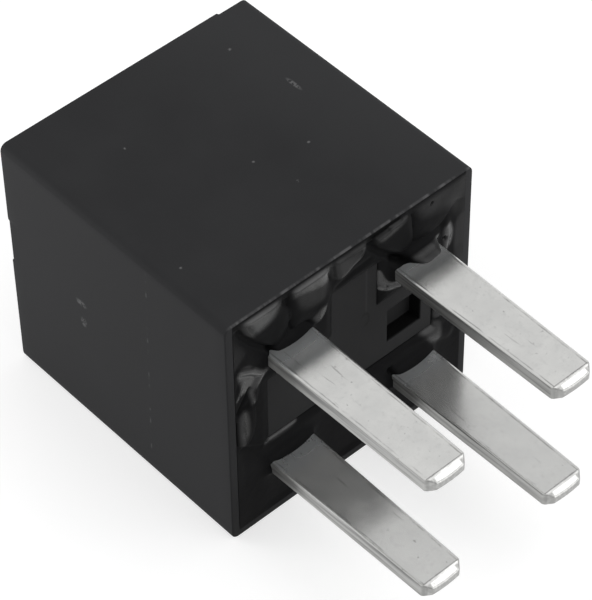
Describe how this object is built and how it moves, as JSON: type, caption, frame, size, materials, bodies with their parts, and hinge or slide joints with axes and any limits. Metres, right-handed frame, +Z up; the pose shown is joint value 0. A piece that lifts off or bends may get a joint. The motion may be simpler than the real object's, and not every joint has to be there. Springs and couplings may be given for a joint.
{
  "type": "automotive relay",
  "caption": "Sealed plug-in automotive relay: black moulded cover, flat blade terminals, coil and contacts inside.",
  "frame": {"origin": "centre of the bounding box's bottom, on the surface that the relay lies on", "axes": "+X along the blades towards their tips, +Y along the blades' width, +Z up, across the blades' thickness"},
  "size_m": [0.0274, 0.0158, 0.0153],
  "materials": {
    "cover_plastic": "fine matt moulded black",
    "base_plastic": "smooth moulded black",
    "potting_epoxy": "glossy wrinkled black epoxy",
    "tinned_brass": "tin-plated, fine drawn lines",
    "plated_iron": "nickel-plated soft iron",
    "bobbin_plastic": "moulded glass-filled plastic",
    "enamelled_copper": "enamelled copper wire, wound",
    "tape": "thin polyester tape",
    "spring_bronze": "rolled phosphor bronze strip",
    "contact_silver": "silver alloy",
    "rivet_brass": "plain brass",
    "stop_metal": "nickel silver strip",
    "resistor_ceramic": "lacquered ceramic",
    "resistor_wire": "tinned wire"
  },
  "bodies": {
    "relay": {"cover": "cover_plastic", "base": "base_plastic", "potting_seal": "potting_epoxy", "common_terminal": "tinned_brass", "open_contact_terminal": "tinned_brass", "coil_terminal_a": "tinned_brass", "coil_terminal_b": "tinned_brass", "yoke": "plated_iron", "core": "plated_iron", "bobbin": "bobbin_plastic", "coil_winding": "enamelled_copper", "coil_tape": "tape", "coil_leads": "enamelled_copper", "fixed_contact": "contact_silver", "spring_rivets": "rivet_brass", "backstop": "stop_metal", "resistor_body": "resistor_ceramic", "resistor_leads": "resistor_wire"},
    "armature_assembly": {"armature": "plated_iron", "contact_spring": "spring_bronze", "moving_contact": "contact_silver", "armature_rivets": "rivet_brass"}
  },
  "joints": [
    {"name": "armature_hinge", "type": "hinge", "parent": "relay", "child": "armature_assembly", "pos_m": [-0.00966, -0.00642, 0.00765], "axis": [0, 0, -1], "range_deg": [0, 3.6], "stiffness_Nm_per_rad": 0.005, "springref_deg": -22.92, "deforming": ["contact_spring"]}
  ]
}
